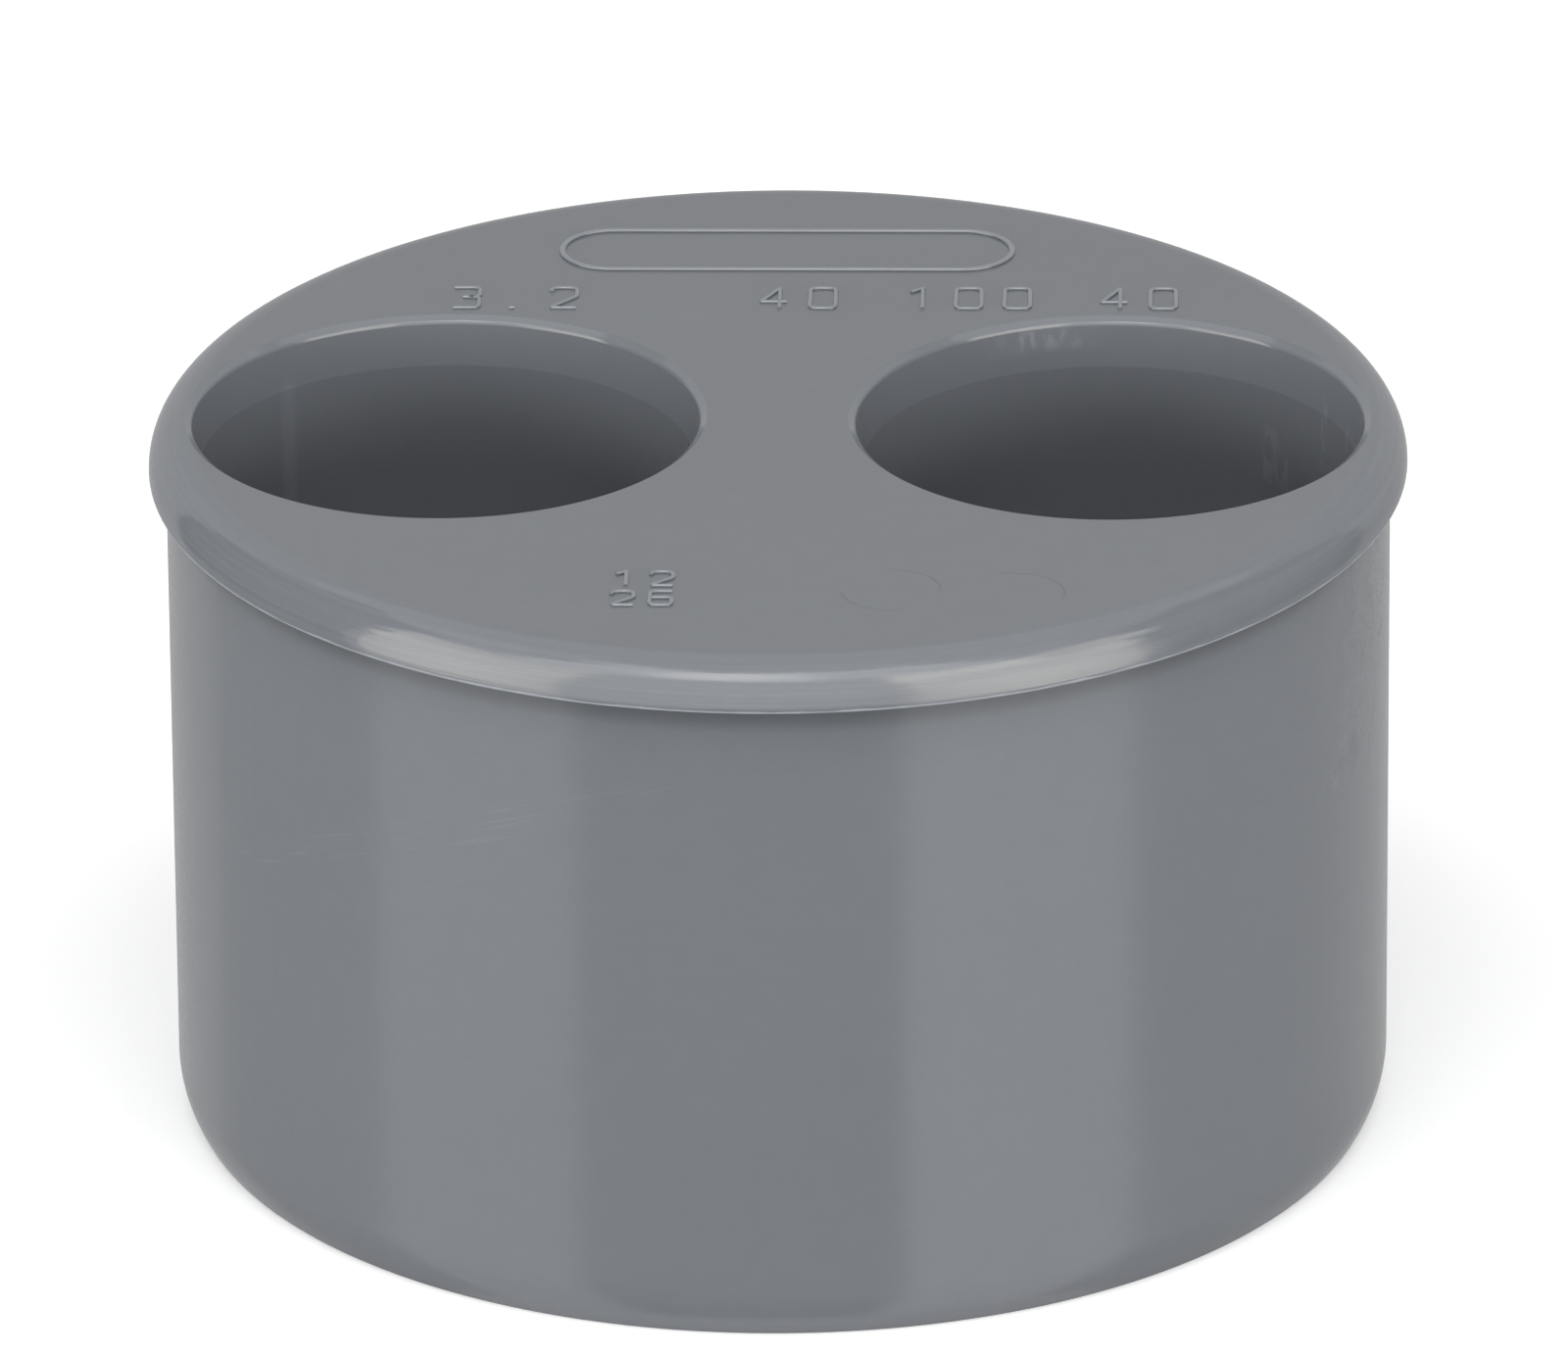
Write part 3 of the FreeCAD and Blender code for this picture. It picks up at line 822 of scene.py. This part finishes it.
def pvc_looks(graph):
    """Where and how strongly each look of the moulding shows, by name."""
    place = graph.node("ShaderNodeTexCoord", {}, {})["Object"] * (1 / MM)
    x, y, z = place.split()
    angle = graph.maths("ARCTAN2", x, -1.0 * y) * math.degrees(1)
    reach = graph.maths("SQRT", x * x + y * y)
    wall = graph.fade(reach, *WALL_REACH) * graph.fade(z, *WALL_HEIGHTS)
    polished = graph.fade(z, *POLISH_HEIGHTS)
    rounded = graph.fade(reach, *RIM_ROUND_REACH) * polished
    haze = graph.noise(place * HAZE_WAVES, 3.0)
    around = graph.noise(place * AROUND_WAVES, 4.0, 0.6)
    rubbed, smeared = scuffs(graph, place, angle, z)
    edges, inside, deep = socket_parts(graph, x, y, z)
    return {
        "polished": polished,
        "cloud": graph.noise(place * CLOUD_WAVES, 3.0),
        "haze": haze,
        "polished haze": haze * polished,
        "grain": graph.noise(place * GRAIN_WAVES, 3.0),
        "around": around,
        "polished around": around * polished,
        "brushed": around * rounded,
        "scratched": scratches(graph, angle, z) * wall,
        "rubbed": rubbed * wall,
        "smeared": smeared * wall,
        # Pale streaks, and a painted highlight on the right socket's lead-in
        "streaked": socket_marks_and_sheen(graph, place, x, y, z),
        # Painted shade on the marks' sides, and a painted highlight on their crests
        "mark foot": graph.fade(z, *MARK_SHADE_HEIGHTS),
        "mark crest": graph.fade(z, *MARK_HIGHLIGHT_HEIGHTS),
        "insert arcs": insert_arcs(graph, x, y) * polished,
        # Parting line, painted pale as a highlight on the rim's lower edge
        "parting line": mould_seam_and_highlight(graph, place, z, reach),
        # Painted shade on the wall under the rim
        "rim corner": graph.fade(z, *UNDER_RIM_SHADE_HEIGHTS) * wall,
        # Painted highlight on the mouths' chamfers
        "mouth edge": edges,
        "in sockets": inside,
        # Painted shade, darker deeper down in the sockets
        "deep in sockets": deep,
    }


def weighed(looks, shares):
    """The looks that shares names, each times its share, added up."""
    return sum(looks[name] * share for name, share in shares.items())


def pvc_finish():
    """Grey PVC as it leaves the mould: polished on the top face and rim, satin on the walls."""
    material = bpy.data.materials.new("grey_pvc")
    material.use_nodes = True
    graph = Graph(material.node_tree)
    looks = pvc_looks(graph)
    tone = weighed(looks, PALER) + 1.0
    colour = graph.vector(tone, tone, tone) * PVC_GREY
    rough = looks["polished"] * (POLISH - SATIN) + SATIN + weighed(looks, ROUGHER)
    bump = graph.node("ShaderNodeBump", {}, {
        "Strength": 1.0, "Distance": MM, "Height": weighed(looks, HIGHER)})
    shell = graph.node("ShaderNodeBsdfPrincipled", {}, {
        "Base Color": colour, "Roughness": rough, "IOR": PVC_IOR, "Normal": bump})
    graph.node("ShaderNodeOutputMaterial", {}, {"Surface": shell})
    return material


# Camera: where it looks, from how far, and how it is turned
EYE_DISTANCE = 1450.0
EYE_FOCAL = 17981.7
EYE_PITCH = 0.4163
EYE_TURN = -0.0258
EYE_ROLL = -0.008
EYE_SHIFT = (0.2945, 5.7705)
PHOTO_WIDTH = 1600
SENSOR = 36.0
EYE_REACH = 10.0


def make_camera():
    """The photograph's viewpoint: a long lens looking down at the top face."""
    ahead = Vector((math.sin(EYE_TURN) * math.cos(EYE_PITCH),
                    math.cos(EYE_TURN) * math.cos(EYE_PITCH), -math.sin(EYE_PITCH)))
    level = Vector((math.cos(EYE_TURN), -math.sin(EYE_TURN), 0))
    tilt = Matrix.Rotation(-EYE_ROLL, 3, ahead)
    right = tilt @ level
    up = tilt @ level.cross(ahead)
    target = right * EYE_SHIFT[0] + up * EYE_SHIFT[1] + Vector((0, 0, TOP / 2))
    spot = (target - ahead * EYE_DISTANCE) * MM
    data = bpy.data.cameras.new("camera")
    data.sensor_width = SENSOR
    data.lens = SENSOR * EYE_FOCAL / PHOTO_WIDTH
    data.clip_end = EYE_REACH
    camera = bpy.data.objects.new("camera", data)
    turn = Matrix((right, up, -ahead)).transposed().to_4x4()
    camera.matrix_world = Matrix.Translation(spot) @ turn
    bpy.context.scene.collection.objects.link(camera)
    bpy.context.scene.camera = camera


def direction(azimuth, elevation):
    """A unit vector; azimuth 0 is the front and grows to the right, in degrees."""
    turn = math.radians(azimuth)
    rise = math.radians(elevation)
    return Vector((math.sin(turn) * math.cos(rise), -math.cos(turn) * math.cos(rise), math.sin(rise)))


def softbox(name, azimuth, elevation, wide, tall, level):
    """A flat lamp that faces the moulding; wide and tall are the angles that it fills."""
    aim = Vector((0, 0, TOP / 2 * MM))
    data = bpy.data.lights.new(name, "AREA")
    data.shape = "RECTANGLE"
    data.size = 2 * LAMP_DISTANCE * math.tan(math.radians(wide / 2))
    data.size_y = 2 * LAMP_DISTANCE * math.tan(math.radians(tall / 2))
    data.energy = level * math.pi * data.size * data.size_y
    lamp = bpy.data.objects.new(name, data)
    towards = direction(azimuth, elevation)
    lamp.location = aim + towards * LAMP_DISTANCE
    lamp.rotation_euler = towards.to_track_quat("Z", "Y").to_euler()
    lamp.visible_camera = False
    lamp.visible_glossy = False
    bpy.context.scene.collection.objects.link(lamp)


# Lamps: where each stands (azimuth, elevation), the angles that it fills across and upright, and
# its level
LAMP_DISTANCE = 1.2
LAMPS = {
    "top_lamp": {"azimuth": 0.0, "elevation": 70.0, "wide": 60.0, "tall": 40.0, "level": 3.95},
    "left_lamp": {"azimuth": -60.0, "elevation": 8.0, "wide": 40.0, "tall": 22.0, "level": 5.15},
    "right_lamp": {"azimuth": 50.0, "elevation": 8.0, "wide": 40.0, "tall": 22.0, "level": 4.35},
    "back_lamp": {"azimuth": 180.0, "elevation": 10.0, "wide": 60.0, "tall": 30.0, "level": 2.0},
}

PLAIN_WHITE = (1.0, 1.0, 1.0, 1.0)
DAYLIGHT = (1.0, 0.965, 0.88, 1.0)

# Bright and dark sheets round the moulding, seen only in its polish. Each fills the angles from
# left to right and from low to high, at a level where the white background's is 1. A window
# fades by a share to its sides. The bulb hangs in front of the high sheet, and the dark screens
# stand behind the sheets (mm)
SHEET_DISTANCE = 900.0
BULB_DISTANCE = 850.0
SCREEN_DISTANCE = 950.0
WINDOW_FALL = 0.32
SHEETS = {
    "front_window": {"left": -36.5, "right": 24.0, "low": -15.0, "high": 50.0, "level": 1.63},
    "front_low": {"left": -36.5, "right": 24.0, "low": -60.0, "high": -15.0, "level": 0.14},
    "front_high": {"left": -62.0, "right": 56.0, "low": 50.0, "high": 74.0, "level": 2.55},
    "front_bulb": {"left": -36.0, "right": 14.0, "low": 53.0, "high": 71.0, "level": 5.4,
                   "fall": 0.5, "distance": BULB_DISTANCE},
    "left_window": {"left": -75.5, "right": -36.5, "low": -15.0, "high": 24.0, "level": 4.25,
                    "fall": WINDOW_FALL, "colour": DAYLIGHT},
    "left_low": {"left": -78.5, "right": -36.5, "low": -60.0, "high": -15.0, "level": 0.87},
    "left_middle": {"left": -79.0, "right": -36.5, "low": 24.0, "high": 38.0, "level": 3.77,
                    "colour": DAYLIGHT},
    "left_high": {"left": -85.0, "right": -36.5, "low": 38.0, "high": 50.0, "level": 3.02,
                  "colour": DAYLIGHT},
    "right_window": {"left": 24.0, "right": 67.0, "low": -15.0, "high": 24.0, "level": 4.8,
                     "fall": WINDOW_FALL, "colour": DAYLIGHT},
    "right_low": {"left": 24.0, "right": 69.0, "low": -60.0, "high": -15.0, "level": 1.17},
    "right_middle": {"left": 24.0, "right": 71.0, "low": 24.0, "high": 38.0, "level": 3.98,
                     "colour": DAYLIGHT},
    "right_high": {"left": 24.0, "right": 56.0, "low": 38.0, "high": 50.0, "level": 5.2,
                   "colour": DAYLIGHT},
    "right_far_high": {"left": 56.0, "right": 82.0, "low": 38.0, "high": 52.0, "level": 2.95,
                       "colour": DAYLIGHT},
    "left_screen_low": {"left": -130.0, "right": -79.0, "low": -60.0, "high": -15.0, "level": 0.38,
                        "distance": SCREEN_DISTANCE},
    "left_screen": {"left": -130.0, "right": -79.0, "low": -15.0, "high": 54.0, "level": 0.05,
                    "distance": SCREEN_DISTANCE},
    "right_screen_low": {"left": 72.0, "right": 125.0, "low": -60.0, "high": -15.0, "level": 0.44,
                         "distance": SCREEN_DISTANCE},
    "right_screen": {"left": 72.0, "right": 125.0, "low": -15.0, "high": 54.0, "level": 0.15,
                     "distance": SCREEN_DISTANCE},
    "back_screen": {"left": 125.0, "right": 230.0, "low": -60.0, "high": 45.0, "level": 0.5,
                    "distance": SCREEN_DISTANCE},
}
SHEET_STEPS = 8
UNSEEN_BY = ("camera", "diffuse", "transmission", "volume_scatter", "shadow")


def sheet_light(name, level, fall, middle, half, colour):
    """Plain light of one level, or one that fades by the share fall to its sides."""
    material = bpy.data.materials.new(name)
    material.use_nodes = True
    material.cycles.emission_sampling = "NONE"
    graph = Graph(material.node_tree)
    strength = level
    if fall:
        x, y, _ = graph.node("ShaderNodeTexCoord", {}, {})["Object"].split()
        across = (graph.maths("ARCTAN2", x, -1.0 * y) - middle) / half
        strength = level * (1.0 - fall * across ** 2.0)
    glow = graph.node("ShaderNodeEmission", {}, {"Color": colour, "Strength": strength})
    graph.node("ShaderNodeOutputMaterial", {}, {"Surface": glow})
    return material


def sheet(name, left, right, low, high, level, fall=0.0, distance=SHEET_DISTANCE, colour=PLAIN_WHITE):
    """A sheet of light, part of an upright cylinder round the moulding."""
    middle = math.radians(left + right) / 2
    half = math.radians(right - left) / 2
    turns = [middle + half * (2 * n / SHEET_STEPS - 1) for n in range(SHEET_STEPS + 1)]
    feet = [distance * math.tan(math.radians(angle)) + TOP / 2 for angle in (low, high)]
    points = [(distance * math.sin(turn), -distance * math.cos(turn), foot)
              for turn in turns for foot in feet]
    faces = [(2 * n, 2 * n + 2, 2 * n + 3, 2 * n + 1) for n in range(SHEET_STEPS)]
    mesh = mesh_from(name, points, (), faces)
    mesh.materials.append(sheet_light(name, level, fall, middle, half, colour))
    card = mesh_object(name, mesh)
    for ray in UNSEEN_BY:
        setattr(card, "visible_" + ray, False)
    card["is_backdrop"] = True


def make_studio():
    """Lamps that light the moulding, and the sheets that its polish mirrors."""
    for name, values in LAMPS.items():
        softbox(name, **values)
    for name, values in SHEETS.items():
        sheet(name, **values)


# Level of the even light, and of the white that the polish mirrors where no sheet stands
AMBIENT = 0.16
MIRRORED = 0.8


def make_world():
    """Even light from all sides, and white wherever the background is seen or mirrored."""
    world = bpy.data.worlds.new("studio")
    bpy.context.scene.world = world
    world.use_nodes = True
    world.cycles.sampling_method = "NONE"
    graph = Graph(world.node_tree)
    rays = graph.node("ShaderNodeLightPath", {}, {})
    seen = rays["Is Camera Ray"]
    mirrored = rays["Is Glossy Ray"] + rays["Is Transmission Ray"]
    level = AMBIENT + seen * (1 - AMBIENT) + mirrored * (MIRRORED - AMBIENT)
    sky = graph.node("ShaderNodeBackground", {}, {"Color": (1, 1, 1, 1), "Strength": level})
    graph.node("ShaderNodeOutputWorld", {}, {"Surface": sky})


# Floor: its side in metres, its white, and how much it glows to the camera alone
FLOOR_SIZE = 6.0
FLOOR_WHITE = 0.8
FLOOR_GLOW = 0.35


def make_floor():
    """A plain white floor that keeps the moulding's shadow."""
    half = FLOOR_SIZE / 2 / MM
    mesh = mesh_from("floor", [(-half, -half, 0), (half, -half, 0), (half, half, 0), (-half, half, 0)],
                     (), [(0, 1, 2, 3)])
    floor = mesh_object("floor", mesh)
    material = bpy.data.materials.new("white_floor")
    material.use_nodes = True
    graph = Graph(material.node_tree)
    white = (FLOOR_WHITE, FLOOR_WHITE, FLOOR_WHITE, 1)
    paint = graph.node("ShaderNodeBsdfDiffuse", {}, {"Color": white})
    seen = graph.node("ShaderNodeLightPath", {}, {})["Is Camera Ray"]
    glow = graph.node("ShaderNodeEmission", {}, {"Color": (1, 1, 1, 1), "Strength": seen * FLOOR_GLOW})
    both = graph.node("ShaderNodeAddShader", {}, {0: paint, 1: glow})
    graph.node("ShaderNodeOutputMaterial", {}, {"Surface": both})
    mesh.materials.append(material)
    floor.visible_glossy = False
    floor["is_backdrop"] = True


make_camera()
make_world()
make_studio()
make_floor()

finish = pvc_finish()
body = moulded_body(finish)
marks = raised_marks(finish)
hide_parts("bushing_body")
for piece in (body, *marks):
    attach(piece, "root")

scene = bpy.context.scene
scene.view_settings.view_transform = "Standard"

sizes = {"cad_box": cad_box, "visual_box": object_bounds()}
{name: [list(corner) for corner in box] for name, box in sizes.items()}
